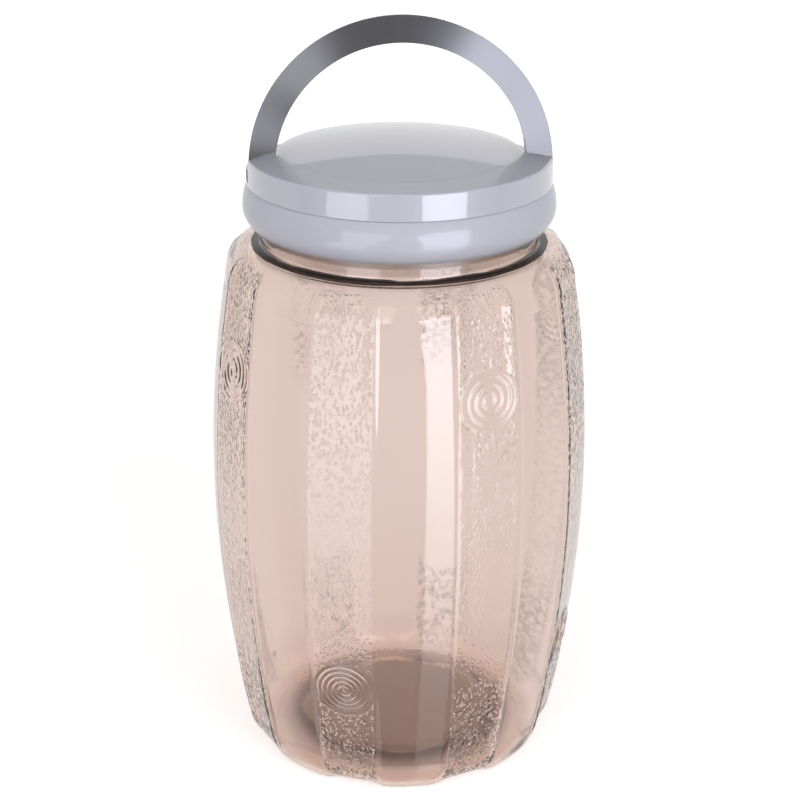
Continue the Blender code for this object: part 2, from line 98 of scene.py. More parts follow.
# Lid
DECK_TOP = 250.8
DECK_UNDERSIDE = 248.8
CAP_LIP_HEIGHT = 233.5
CAP_LIP_RADIUS = 60.8
CAP_BULGE_RADIUS = 64.3
CAP_BULGE_HEIGHT = 240.94
CAP_SHOULDER_RADIUS = 62.2
CAP_BORE_RADIUS = 59.3
CAP_SLEEVE_RADIUS = 60.7
CAP_SLEEVE_FOOT = 236.4
CAP_SKIRT_THICKNESS = 1.7
CAP_LIP_THICKNESS = 0.8
COLLAR_RADIUS = 62.5
COLLAR_FOOT = 250.9
COLLAR_EDGE_HEIGHT = 262.0
COLLAR_WALL_HEIGHT = 259.5
COLLAR_BORE_RADIUS = 47.6
DOME_RADIUS = 50.1
DOME_EDGE_HEIGHT = 262.2
DOME_RISE = 5.0
REAR_DECK_HEIGHT = 255.5
CRESCENT_SIDE_RISE = 1.9
GAP = 0.3
OVERRUN = 4.0

# Carry handle
HANDLE_OUTER_RADIUS = 61.3
HANDLE_INNER_RADIUS = 50.6
HANDLE_DRAFT = 1.0
HANDLE_BACK_OFFSET = 0.8
HANDLE_FACE_OFFSET = 7.0
HANDLE_FACE_LEAN = 2.0
HANDLE_TOE_CHAMFER = 2.0
PIVOT_FORWARD = 3.5
PIVOT_HEIGHT = 255.0
LUG_RADIUS = 2.4
PIN_RADIUS = 1.6

LATHE_STEPS = 192
BEVEL_ANGLE = math.radians(50)

# Tints of the jar's plastic and painted shades on it, and where each lies, in metres above the foot or from
# the axis
WALL_TINTS = ((0.905, 0.858, 0.850, 1), (0.913, 0.849, 0.831, 1))
# Painted shade on the base disc, standing in for the shadowed floor seen through the base
BASE_SHADE_TINT = (0.142, 0.083, 0.063, 1)
BASE_SHADE_HEIGHT = (0.0062, 0.0066)
BASE_SHADE_REACH = (0.041, 0.055)
# Painted shade on the neck, standing in for the lid's shade and dark inside seen through it
NECK_SHADE_TINT = (0.60, 0.535, 0.51, 1)
NECK_SHADE_HEIGHT = (0.2262, 0.2275)
# Painted shadow of the lid on the neck, just below its lip
LID_SHADOW_TINT = (0.20, 0.155, 0.14, 1)
LID_SHADOW_SHARE = 0.55
LID_SHADOW_HEIGHT = (0.2298, 0.2304)
# A near-black ring of painted shade where the neck meets the shoulder, standing in for the dark that
# refraction makes there
SHADE_RING_TINT = (0.004, 0.003, 0.003, 1)
SHADE_RING_FOOT = (0.2240, 0.2244)
SHADE_RING_HEAD = (0.2254, 0.2257)
SHADE_RING_REACH = (0.0612, 0.0615)
SHADOW_TINT = (0.82, 0.73, 0.69, 1)
BODY_TINT = (0.80, 0.42, 0.14, 1)
BODY_DENSITY = 100.0

# Flecks pressed into the raised panels, which wander off a stretched grid of cells
FLECK_SCALE = 700.0
FLECK_STRETCH = 0.58
FLECK_WANDER = 0.0022
FLECK_WANDER_SCALE = 260.0
FLECK_RELIEF = 0.00042

# Tones of the lid and the handle
LID_TONES = ((0.445, 0.445, 0.518), (0.48, 0.48, 0.553))
HANDLE_TONES = ((0.088, 0.088, 0.097), (0.118, 0.118, 0.13))

# What gloss shows: a low white wall behind, a room, and two tall soft boxes in front
FRONT_VIEW_AZIMUTH = math.radians(-3.67)
WALL_EDGE = (0.402, 0.418)
ROOM_FRONT_LEVEL = 0.38
ROOM_BACK_LEVEL = 0.50
BOX_LEVEL = 7.8
BOX_TINT = (0.98, 0.98, 1.10, 1)
BOX_HEAD = (0.16, 0.19)
BOX_FADE = (-0.74, -0.15)
BOX_FAR_BLUR = 0.026
LEFT_BOX_SHARE = 0.5

# Lamps and camera, in metres and watts
LAMP_AIM = (0.0, 0.0, 0.15)
LAMP_SIZE = (0.9, 0.9)
KEY_PLACE = (0.7, -1.5, 1.0)
KEY_POWER = 9.0
FILL_PLACE = (-0.6, -1.5, 1.0)
FILL_POWER = 6.0
CAMERA_PLACE = (-0.05155, -0.80307, 0.47572)
CAMERA_AIM = (0.00060, 0.0, 0.15337)
CAMERA_ROLL = math.radians(0.25)
CAMERA_LENS = 91.585
FLOOR_REACH = 4.0
FLOOR_DROP = 0.0002


def smooth_step(share):
    share = np.clip(share, 0.0, 1.0)
    return share * share * (3 - 2 * share)


def lattice_noise(x, y, seed):
    """Gradient noise from a hashed lattice, about -0.7 to 0.7."""
    column = np.floor(x).astype(np.int64)
    row = np.floor(y).astype(np.int64)
    fx = x - column
    fy = y - row

    def corner(i, j):
        h = ((column + i) * 374761393 + (row + j) * 668265263 + seed * 974634777) & 0xFFFFFFFF
        h = ((h ^ (h >> 13)) * 1274126177) & 0xFFFFFFFF
        angle = (h ^ (h >> 16)) * (math.tau / 0xFFFFFFFF)
        return np.cos(angle) * (fx - i) + np.sin(angle) * (fy - j)

    sx = smooth_step(fx)
    sy = smooth_step(fy)
    low = corner(0, 0) * (1 - sx) + corner(1, 0) * sx
    high = corner(0, 1) * (1 - sx) + corner(1, 1) * sx
    return low * (1 - sy) + high * sy


# Materials

class Graph:
    """A short way to write one material's or the world's nodes."""

    def __init__(self, tree):
        self.tree = tree
        tree.nodes.clear()

    def add(self, kind, inputs=None, **settings):
        made = self.tree.nodes.new(kind)
        for name, value in settings.items():
            setattr(made, name, value)
        for name, value in (inputs or {}).items():
            self.put(made.inputs[name], value)
        return made

    def put(self, socket, value):
        if isinstance(value, bpy.types.NodeSocket):
            self.tree.links.new(value, socket)
        else:
            socket.default_value = value

    def sum(self, operation, *values):
        made = self.add("ShaderNodeMath", operation=operation)
        for socket, value in zip(made.inputs, values):
            self.put(socket, value)
        return made.outputs[0]

    def span(self, value, low, high, to_low=0.0, to_high=1.0, smooth=True):
        made = self.add("ShaderNodeMapRange", interpolation_type="SMOOTHSTEP" if smooth else "LINEAR")
        for name, entry in (("Value", value), ("From Min", low), ("From Max", high), ("To Min", to_low),
                            ("To Max", to_high)):
            self.put(made.inputs[name], entry)
        return made.outputs[0]

    def mix(self, share, first, second):
        made = self.add("ShaderNodeMix", data_type="RGBA")
        self.put(made.inputs[0], share)
        self.put(made.inputs[6], first)
        self.put(made.inputs[7], second)
        return made.outputs[2]

    def noise(self, coordinates, scale, detail=2.0, stretch=None):
        if stretch:
            coordinates = self.add(
                "ShaderNodeMapping", {"Vector": coordinates, "Scale": stretch}
            ).outputs[0]
        made = self.add("ShaderNodeTexNoise", {"Vector": coordinates, "Scale": scale, "Detail": detail})
        return made.outputs["Fac"]

    def vector(self, operation, first, second=None):
        made = self.add("ShaderNodeVectorMath", {0: first}, operation=operation)
        if second is not None:
            self.put(made.inputs[1], second)
        return made.outputs["Value" if operation == "LENGTH" else 0]

    def output(self, surface, volume=None):
        out = self.add("ShaderNodeOutputMaterial")
        self.put(out.inputs["Surface"], surface)
        if volume:
            self.put(out.inputs["Volume"], volume)

    def bump(self, height, strength, distance):
        made = self.add("ShaderNodeBump", {"Height": height, "Strength": strength, "Distance": distance})
        return made.outputs[0]


def new_material(name):
    made = bpy.data.materials.new(name)
    made.use_nodes = True
    return made, Graph(made.node_tree)


def position(graph):
    return graph.add("ShaderNodeTexCoord").outputs["Object"]


def jar_material():
    """Clear smoky rose-brown plastic, with painted shade on its base, on its neck, under the lid and in a
    dark ring where the neck meets the shoulder.
    """
    made, g = new_material("smoky_clear_plastic")
    place = position(g)
    height = g.add("ShaderNodeSeparateXYZ", {"Vector": place}).outputs["Z"]
    drift = g.noise(place, 9.0, 2.0)
    reach = g.vector("LENGTH", g.vector("MULTIPLY", place, (1.0, 1.0, 0.0)))
    # Painted shade: the base disc is darkened, as if by the shadowed floor seen through it
    low = g.span(height, *BASE_SHADE_HEIGHT, 1.0, 0.0)
    base_shade = g.sum("MULTIPLY", low, g.span(reach, *BASE_SHADE_REACH, 1.0, 0.0))
    tint = g.mix(drift, *WALL_TINTS)
    tint = g.mix(base_shade, tint, BASE_SHADE_TINT)
    # Painted shade: the neck is darkened above the shoulder
    tint = g.mix(g.span(height, *NECK_SHADE_HEIGHT), tint, NECK_SHADE_TINT)
    # Painted shadow: a darker band on the neck just under the lid
    lid_shadow = g.span(height, *LID_SHADOW_HEIGHT)
    tint = g.mix(g.sum("MULTIPLY", lid_shadow, LID_SHADOW_SHARE), tint, LID_SHADOW_TINT)
    # Painted shade: a near-black ring, wandering a little, where the neck meets the shoulder
    wander = g.span(g.noise(place, 60.0, 1.0), 0.3, 0.7, -0.0003, 0.0003)
    level = g.sum("ADD", height, wander)
    ring = g.sum("MULTIPLY", g.span(level, *SHADE_RING_FOOT), g.span(level, *SHADE_RING_HEAD, 1.0, 0.0))
    ring = g.sum("MULTIPLY", ring, g.span(g.sum("ADD", reach, wander), *SHADE_RING_REACH, 1.0, 0.0))
    tint = g.mix(ring, tint, SHADE_RING_TINT)
    gloss = g.span(g.noise(place, 35.0, 3.0), 0.3, 0.7, 0.02, 0.05)
    grain = g.noise(place, 900.0, 2.0)
    lean = {"Vector": place, "Scale": FLECK_WANDER_SCALE, "Detail": 1.0}
    lean = g.add("ShaderNodeTexNoise", lean).outputs["Color"]
    lean = g.vector("MULTIPLY", lean, (FLECK_WANDER, FLECK_WANDER, FLECK_WANDER))
    strokes = {"Vector": g.vector("ADD", place, lean), "Scale": (1.0, 1.0, FLECK_STRETCH)}
    strokes = {"Vector": g.add("ShaderNodeMapping", strokes).outputs[0], "Scale": FLECK_SCALE}
    strokes = g.add("ShaderNodeTexVoronoi", strokes).outputs["Distance"]
    textured = g.add("ShaderNodeAttribute", attribute_name="bark").outputs["Fac"]
    pressed = g.sum("MULTIPLY", g.span(strokes, 0.15, 0.48, 1.25, 0.0), textured)
    pressed = g.sum("ADD", pressed, g.sum("MULTIPLY", grain, 0.03))
    shader = g.add(
        "ShaderNodeBsdfPrincipled",
        {
            "Base Color": tint,
            "Roughness": g.sum("ADD", gloss, g.sum("MULTIPLY", g.sum("ADD", ring, lid_shadow), 0.3)),
            "IOR": 1.5,
            "Transmission Weight": 1.0,
            "Normal": g.bump(pressed, 1.0, FLECK_RELIEF),
        },
    )
    clear = g.add("ShaderNodeBsdfTransparent", {"Color": SHADOW_TINT})
    lamps = g.add("ShaderNodeLightPath").outputs["Is Shadow Ray"]
    surface = g.add("ShaderNodeMixShader", {"Fac": lamps})
    g.put(surface.inputs[1], shader.outputs[0])
    g.put(surface.inputs[2], clear.outputs[0])
    body = g.add("ShaderNodeVolumeAbsorption", {"Color": BODY_TINT, "Density": BODY_DENSITY})
    g.output(surface.outputs[0], body.outputs[0])
    return made


def plastic(
    name,
    tones,
    roughness,
    bump_strength,
    metallic=0.0,
    grain_scale=900.0,
    coat=0.0,
    specular=0.5,
    coat_roughness=0.03,
):
    """Moulded plastic with a slow drift between two tones, uneven gloss and a fine grain."""
    colour, other = tones
    made, g = new_material(name)
    place = position(g)
    drift = g.noise(place, 14.0, 3.0)
    grain = g.noise(place, grain_scale, 2.0)
    shade = g.sum("ADD", g.sum("MULTIPLY", drift, 0.7), g.sum("MULTIPLY", grain, 0.3))
    shader = g.add(
        "ShaderNodeBsdfPrincipled",
        {
            "Base Color": g.mix(g.span(shade, 0.3, 0.7), (*colour, 1), (*other, 1)),
            "Roughness": g.span(drift, 0.3, 0.7, roughness - 0.03, roughness + 0.03),
            "Metallic": metallic,
            "Specular IOR Level": specular,
            "Coat Weight": coat,
            "Coat Roughness": coat_roughness,
            "Normal": g.bump(grain, bump_strength, 0.0002),
        },
    )
    g.output(shader.outputs[0])
    return made


def foam_material():
    made, g = new_material("closed_cell_foam")
    place = position(g)
    cells = g.add("ShaderNodeTexVoronoi", {"Vector": place, "Scale": 1400.0}).outputs["Distance"]
    shader = g.add(
        "ShaderNodeBsdfPrincipled",
        {
            "Base Color": g.mix(g.noise(place, 40.0), (0.80, 0.80, 0.77, 1), (0.88, 0.88, 0.86, 1)),
            "Roughness": 0.85,
            "Normal": g.bump(cells, 0.4, 0.0002),
        },
    )
    g.output(shader.outputs[0])
    return made


# Meshes

def even_normals(mesh, sharp):
    """Weights corner normals by face area, so that flat faces beside rounded edges look flat."""
    around = [[] for _ in mesh.vertices]
    for face in mesh.polygons:
        for vertex in face.vertices:
            around[vertex].append(face.index)
    normals = [face.normal.copy() for face in mesh.polygons]
    areas = [face.area for face in mesh.polygons]
    limit = math.cos(sharp)
    corners = []
    for face in mesh.polygons:
        own = normals[face.index]
        for vertex in face.vertices:
            total = Vector((0.0, 0.0, 0.0))
            for other in around[vertex]:
                if own.dot(normals[other]) > limit:
                    total += normals[other] * areas[other]
            corners.append(total.normalized() if total.length > 0 else own)
    mesh.normals_split_custom_set(corners)


def finish_piece(name, mesh, surface, body, replaced=None, sharp=math.radians(38)):
    mesh.materials.append(surface)
    mesh.shade_smooth()
    if sharp:
        mesh.set_sharp_from_angle(angle=sharp)
        even_normals(mesh, sharp)
    piece = bpy.data.objects.new(name, mesh)
    bpy.context.scene.collection.objects.link(piece)
    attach(piece, body)
    if replaced:
        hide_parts(replaced)
    return piece


def solid_mesh(name, points, faces):
    """A mesh from points in metres, with its faces all turned outwards."""
    mesh = bpy.data.meshes.new(name)
    mesh.from_pydata(points, [], faces)
    shape = bmesh.new()
    shape.from_mesh(mesh)
    bmesh.ops.recalc_face_normals(shape, faces=shape.faces)
    shape.to_mesh(mesh)
    shape.free()
    return mesh


def ring_mesh(name, rings, closed=False):
    """Joins rings of points (metres) in order, where a ring of one point is a pole."""
    points = []
    starts = []
    for ring in rings:
        starts.append(len(points))
        points.extend(ring)
    faces = []
    pairs = list(zip(range(len(rings)), range(1, len(rings))))
    if closed:
        pairs.append((len(rings) - 1, 0))
    for low, high in pairs:
        a, b = starts[low], starts[high]
        count = max(len(rings[low]), len(rings[high]))
        for i in range(count):
            j = (i + 1) % count
            if len(rings[low]) == 1:
                faces.append((a, b + j, b + i))
            elif len(rings[high]) == 1:
                faces.append((a + i, a + j, b))
            else:
                faces.append((a + i, a + j, b + j, b + i))
    return solid_mesh(name, points, faces)


def turned(radius, height, angle):
    return (radius * math.sin(angle) * MM, -radius * math.cos(angle) * MM, height * MM)


def lathe(name, outline, steps=LATHE_STEPS, closed=False, climb=None):
    rings = []
    for index, (radius, height) in enumerate(outline):
        ring = []
        for i in range(steps if radius > 0 else 1):
            angle = math.tau * i / steps
            lift = climb(index, angle) if climb else 0.0
            ring.append(turned(radius, height + lift, angle))
        rings.append(ring)
    return ring_mesh(name, rings, closed)


def arc(centre, radii, start, end, steps):
    """Points (radius, height) on an ellipse from one angle to another, in degrees above the horizontal."""
    points = []
    for i in range(steps + 1):
        angle = math.radians(start + (end - start) * i / steps)
        points.append((centre[0] + radii[0] * math.cos(angle), centre[1] + radii[1] * math.sin(angle)))
    return points


# Jar

def barrel_radius(height):
    drop = height - BELLY_HEIGHT
    return BELLY_RADIUS - (BARREL_ARC_RADIUS - math.sqrt(BARREL_ARC_RADIUS**2 - drop**2))


def jar_columns():
    """Angles around the jar, closer together on the raised panels, with their offsets and panels."""
    period = math.tau / PANEL_PAIRS
    reach = PANEL_HALF + math.radians(0.3)
    inner = np.linspace(-reach, reach, PANEL_COLUMNS + 1)
    outer = np.linspace(reach, period - reach, SMOOTH_COLUMNS + 1)[1:-1]
    offsets = np.concatenate([inner, outer])
    angles = np.concatenate([PANEL_TURN + pair * period + offsets for pair in range(PANEL_PAIRS)])
    panel = np.repeat(np.arange(PANEL_PAIRS), len(offsets))
    return angles, np.tile(offsets, PANEL_PAIRS), panel


def outer_profile():
    """The outer outline from the foot to the rim as (radius, height)."""
    rows = int((BARREL_HEAD - BARREL_FOOT) / ROW_STEP)
    foot_radius = barrel_radius(BARREL_FOOT)
    head_radius = barrel_radius(BARREL_HEAD)
    heel = arc(
        (FOOT_OUTER_RADIUS, BARREL_FOOT), (foot_radius - FOOT_OUTER_RADIUS, BARREL_FOOT), -90, 0, 30
    )
    barrel = []
    for i in range(1, rows):
        height = BARREL_FOOT + (BARREL_HEAD - BARREL_FOOT) * i / rows
        barrel.append((barrel_radius(height), height))
    shoulder = arc(
        (SHOULDER_INNER_RADIUS, BARREL_HEAD),
        (head_radius - SHOULDER_INNER_RADIUS, SHOULDER_TOP - BARREL_HEAD),
        0,
        90,
        34,
    )
    fillet = arc(
        (NECK_RADIUS + NECK_FILLET, SHOULDER_TOP + NECK_FILLET), (NECK_FILLET, NECK_FILLET), -90, -180, 6
    )
    rim = arc((NECK_RADIUS - 0.7, RIM_HEIGHT - 0.7), (0.7, 0.7), 0, 90, 4)
    return heel + barrel + shoulder + fillet + rim


def profile_normals(points):
    steps = np.gradient(points, axis=0)
    normals = np.stack([steps[:, 1], -steps[:, 0]], axis=1)
    return normals / np.linalg.norm(normals, axis=1, keepdims=True)


def panel_depth(points, along, angles_offset, low, high):
    """How far inside its raised panel each point lies, in millimetres, and its place on the panel."""
    across = points[:, 0:1] * angles_offset[None, :]
    half_width = points[:, 0:1] * PANEL_HALF
    middle = (low + high) / 2
    half_height = (high - low) / 2
    dx = np.abs(across) - (half_width - PANEL_CORNER)
    dy = (np.abs(along - middle) - (half_height - PANEL_CORNER))[:, None]
    outside = np.hypot(np.maximum(dx, 0), np.maximum(dy, 0))
    return PANEL_CORNER - outside - np.minimum(np.maximum(dx, dy), 0), across


def bark(across, along, panel):
    """Short wandering ridges, as pressed into the raised panels."""
    u = across + 70.0 * panel[None, :]
    v = np.broadcast_to(along[:, None], u.shape)
    u2 = u + 1.2 * lattice_noise(u / 2.9, v / 2.9, 3)
    v2 = v + 1.2 * lattice_noise(u / 2.9, v / 2.9, 4)
    line = np.abs(lattice_noise(u2 / 1.45, v2 / 1.85, 5))
    ridge = smooth_step(1 - line / 0.26)
    broken = smooth_step(0.5 + 1.8 * lattice_noise(u / 1.8, v / 1.8, 6))
    return ridge * (0.25 + 0.75 * broken)


def spiral(across, along, middle, pitch):
    """A spiral on a round boss: its height, and how much of the bark it clears away."""
    dv = np.broadcast_to((along - middle)[:, None], across.shape)
    reach = np.hypot(across, dv)
    turn = np.arctan2(dv, across)
    wave = 0.5 + 0.5 * np.cos(math.tau * reach / pitch - turn)
    fade = smooth_step((SPIRAL_RADIUS - 0.6 - reach) / 0.8)
    rim = smooth_step(1 - np.abs(reach - SPIRAL_RADIUS) / 0.9)
    return SPIRAL_DEPTH * (wave**2.2 * fade + rim), smooth_step((SPIRAL_RADIUS + 0.8 - reach) / 0.8)


def panel_relief(outline, along, offsets, panel):
    """The raised panels' smooth form and the fine relief on them, both in millimetres."""
    heights = outline[:, 1]
    low = np.interp(PANEL_FOOT_HEIGHT, heights, along) - PANEL_FOOT_RUNOUT
    high = along[np.argmax(heights >= SHOULDER_TOP - 0.001)] - PANEL_TOP_INSET
    depth, across = panel_depth(outline, along, offsets, low, high)
    hollow = 1 - (across / (outline[:, 0:1] * PANEL_HALF)) ** 2
    dish = np.clip(hollow, 0, 1) * smooth_step(depth / (2.5 * PANEL_EDGE))
    runout = smooth_step((high + 2.0 - along) / PANEL_TOP_RUNOUT)
    runout = (runout * smooth_step((heights - PANEL_FOOT_HEIGHT) / PANEL_FOOT_RUNOUT))[:, None]
    fuller = 0.42 + 0.28 * smooth_step((heights - 150) / 45) + 0.58 * smooth_step((60 - heights) / 40)
    form = (PANEL_RISE * smooth_step(depth / PANEL_EDGE) - PANEL_DISH * dish) * runout * fuller[:, None]
    carved = np.zeros_like(depth)
    kept = np.ones_like(depth)
    spirals = ((UPPER_SPIRAL_HEIGHT, UPPER_SPIRAL_PITCH), (LOWER_SPIRAL_HEIGHT, LOWER_SPIRAL_PITCH))
    for parity, (height, pitch) in enumerate(spirals):
        shape, cleared = spiral(across, along, np.interp(height, heights, along), pitch)
        on = (panel % 2 == parity)[None, :]
        carved += np.where(on, shape, 0)
        kept *= np.where(on, 1 - cleared, 1)
    strength = 0.12 + 0.9 * smooth_step((heights - 118) / 60) + 0.9 * smooth_step((58 - heights) / 24)
    flat = smooth_step((depth - 0.8 * PANEL_EDGE) / 1.2) * smooth_step((heights - 1.5) / 3)[:, None]
    texture = strength[:, None] * kept * flat
    return form, bark(across, along, panel) * BARK_DEPTH * texture + carved * flat, texture


def make_jar():
    surface = jar_material()
    angles, offsets, panel = jar_columns()
    outline = np.array(outer_profile())
    heights = outline[:, 1]
    normals = profile_normals(outline)
    along = np.concatenate([[0], np.cumsum(np.linalg.norm(np.diff(outline, axis=0), axis=1))])
    form, fine, texture = panel_relief(outline, along, offsets, panel)

    # The foot is drawn in and a little up below the raised panels
    drawn_in = smooth_step((PANEL_HALF + 0.03 - np.abs(offsets)) / 0.15)
    near_foot = smooth_step((17.0 - heights) / 17.0)
    inset = near_foot[:, None] * PANEL_FOOT_INSET * drawn_in[None, :]
    lift = smooth_step((8.0 - heights) / 8.0)[:, None] * PANEL_FOOT_LIFT * drawn_in[None, :]
    move = form + fine
    radii = outline[:, 0:1] + normals[:, 0:1] * move - inset
    levels = outline[:, 1:2] + normals[:, 1:2] * move + lift

    top = RIM_HEIGHT - 0.9
    inner_rows = [
        i
        for i, z in enumerate(heights)
        if z < top and (i % 9 == 0 or z > SHOULDER_TOP - 3 or z < BARREL_FOOT)
    ]
    walls = np.where(heights > SHOULDER_TOP + 1, NECK_WALL, JAR_WALL + 0.5 * near_foot)[:, None]
    inner_radii = outline[:, 0:1] + normals[:, 0:1] * (form - walls) - inset
    inner_levels = outline[:, 1:2] + normals[:, 1:2] * (form - walls) + lift

    step = BASE_STEP_RADIUS
    base = [(0.0, BASE_RISE), (3.0, BASE_RISE)]
    base += [(step - 5.0, BASE_RISE), (step - 3.0, BASE_RISE - 0.3), (step, BASE_RISE - 1.7)]
    base += [(step + 3.0, BASE_RISE - 3.1), (step + 5.0, BASE_RISE - 3.5), (49.5, 2.1), (52.3, 1.7)]
    base += [(53.4, 0.5), (FOOT_INNER_RADIUS, 0.1), (55.4, 0.0), (57.0, 0.0)]
    lobes = np.cos(PANEL_PAIRS * (angles - PANEL_TURN))

    def base_ring(radius, height):
        if not radius:
            return [turned(0.0, height, 0.0)]
        spread = math.exp(-(((radius - step) / 5.0) ** 2))
        foot = max(0.0, (radius - FOOT_INNER_RADIUS) / (FOOT_OUTER_RADIUS - FOOT_INNER_RADIUS))
        ring_radii = radius - BASE_LOBE * spread * lobes - foot * PANEL_FOOT_INSET * drawn_in
        ring_levels = height + foot * PANEL_FOOT_LIFT * drawn_in
        return [turned(r, z, a) for r, z, a in zip(ring_radii, ring_levels, angles)]

    rings = [base_ring(*point) for point in base]
    for i in range(len(outline)):
        rings.append([turned(r, z, a) for r, z, a in zip(radii[i], levels[i], angles)])
    for i in reversed(inner_rows):
        rings.append([turned(r, z, a) for r, z, a in zip(inner_radii[i], inner_levels[i], angles)])
    for radius, height in reversed(base[:-1]):
        rings.append(base_ring(radius, height + BASE_WALL))
    mesh = ring_mesh("jar_shell", rings)
    values = np.zeros(len(mesh.vertices), dtype=np.float32)
    first = sum(len(ring) for ring in rings[: len(base)])
    values[first : first + texture.size] = texture.ravel()
    mesh.attributes.new("bark", "FLOAT", "POINT").data.foreach_set("value", values)
    finish_piece("jar_shell", mesh, surface, "jar", "jar_body", sharp=None)

    mesh = helix("neck_thread", NECK_RADIUS, NECK_RADIUS + THREAD_DEPTH, THREAD_START, 1.25)
    finish_piece("neck_thread", mesh, surface, "jar")


def helix(name, root, crest, start, turns):
    outward = math.copysign(1, crest - root)
    steps = round(96 * turns)
    rings = []
    for i in range(steps + 1):
        angle = math.tau * turns * i / steps
        middle = start + THREAD_LEAD * angle / math.tau
        fullness = min(1.0, (i + 1) / 9, (steps + 1 - i) / 9)
        top = root + (crest - root) * math.sin(fullness * math.pi / 2)
        sunk = root - outward * THREAD_SINK
        section = (
            (sunk, -THREAD_ROOT_HALF),
            (top - outward * 0.3, -THREAD_CREST_HALF - 0.2),
            (top, -THREAD_CREST_HALF + 0.1),
            (top, THREAD_CREST_HALF - 0.1),
            (top - outward * 0.3, THREAD_CREST_HALF + 0.2),
            (sunk, THREAD_ROOT_HALF),
        )
        rings.append([turned(r, middle + z, angle) for r, z in section])
    points = [p for ring in rings for p in ring]
    width = len(rings[0])
    faces = []
    for i in range(len(rings) - 1):
        for j in range(width):
            k = (j + 1) % width
            faces.append((i * width + j, i * width + k, (i + 1) * width + k, (i + 1) * width + j))
    faces.append(tuple(range(width)))
    faces.append(tuple(range((len(rings) - 1) * width, len(rings) * width)))
    return solid_mesh(name, points, faces)


# Lid

def skirt_radius(height):
    if height < CAP_BULGE_HEIGHT:
        share = (CAP_BULGE_HEIGHT - height) / (CAP_BULGE_HEIGHT - CAP_LIP_HEIGHT)
        return CAP_BULGE_RADIUS - (CAP_BULGE_RADIUS - CAP_LIP_RADIUS) * share**2
    share = (height - CAP_BULGE_HEIGHT) / (DECK_TOP - CAP_BULGE_HEIGHT)
    return CAP_BULGE_RADIUS - (CAP_BULGE_RADIUS - CAP_SHOULDER_RADIUS) * share**2


def make_lid():
    surface = plastic(
        "lid_plastic_satin", LID_TONES, 0.3, 0.03, coat=0.4, specular=0.15, coat_roughness=0.08
    )
    polished = plastic("lid_plastic_polished", LID_TONES, 0.3, 0.03, coat=1.0, specular=0.3)
    spigot = COLLAR_BORE_RADIUS - GAP
    outline = [(0.0, DECK_TOP), (spigot - 1.6, DECK_TOP), (spigot - 1.6, DECK_TOP + 2.0)]
    outline += [(spigot, DECK_TOP + 2.0), (spigot, DECK_TOP)]
    outline += arc((CAP_SHOULDER_RADIUS - 0.5, DECK_TOP - 0.5), (0.5, 0.5), 90, 20, 3)
    for i in range(23, 0, -1):
        height = CAP_LIP_HEIGHT + 0.4 + (DECK_TOP - 1.2 - CAP_LIP_HEIGHT) * i / 24
        outline.append((skirt_radius(height), height))
    outline += arc((CAP_LIP_RADIUS - 0.35, CAP_LIP_HEIGHT + 0.35), (0.4, 0.35), -10, -90, 3)
    outline += [(CAP_BORE_RADIUS + 0.3, CAP_LIP_HEIGHT), (CAP_BORE_RADIUS, CAP_LIP_HEIGHT + 0.3)]
    cavity = CAP_LIP_HEIGHT + CAP_LIP_THICKNESS
    for i in range(9):
        height = cavity + (DECK_UNDERSIDE - cavity) * i / 8
        outline.append((skirt_radius(height) - CAP_SKIRT_THICKNESS, height))
    outline += [(CAP_SLEEVE_RADIUS, DECK_UNDERSIDE), (CAP_SLEEVE_RADIUS, CAP_SLEEVE_FOOT)]
    outline += [(CAP_BORE_RADIUS, CAP_SLEEVE_FOOT), (CAP_BORE_RADIUS, DECK_UNDERSIDE)]
    outline.append((0.0, DECK_UNDERSIDE))
    finish_piece("lid_skirt", lathe("lid_skirt", outline), surface, "lid", "screw_cap")
    mesh = helix(
        "lid_thread", CAP_BORE_RADIUS, NECK_RADIUS + 0.4, THREAD_START - THREAD_LEAD / 2, 1.0
    )
    finish_piece("lid_thread", mesh, surface, "lid")
    make_collar(polished)
    make_dome(polished)


def leaned_front(radius):
    span = HANDLE_OUTER_RADIUS - HANDLE_INNER_RADIUS
    lean = HANDLE_FACE_LEAN * (HANDLE_OUTER_RADIUS - radius) / span
    return -PIVOT_FORWARD - HANDLE_FACE_OFFSET - lean


def add_helper(name, points, faces):
    mesh = solid_mesh(name, [tuple(c * MM for c in p) for p in points], faces)
    helper = bpy.data.objects.new(name, mesh)
    bpy.context.scene.collection.objects.link(helper)
    return helper


def prism(name, plan, low, high):
    count = len(plan)
    points = [(x, y, z) for z in (low, high) for x, y in plan]
    faces = [(i, (i + 1) % count, count + (i + 1) % count, count + i) for i in range(count)]
    faces += [tuple(range(count)), tuple(range(count, 2 * count))]
    return add_helper(name, points, faces)


def rod(name, radius, low, high, steps=32):
    points = []
    for x in (low, high):
        for i in range(steps):
            angle = math.tau * i / steps
            y = -PIVOT_FORWARD + radius * math.cos(angle)
            points.append((x, y, PIVOT_HEIGHT + radius * math.sin(angle)))
    faces = [(i, (i + 1) % steps, steps + (i + 1) % steps, steps + i) for i in range(steps)]
    faces += [tuple(range(steps)), tuple(range(steps, 2 * steps))]
    return add_helper(name, points, faces)


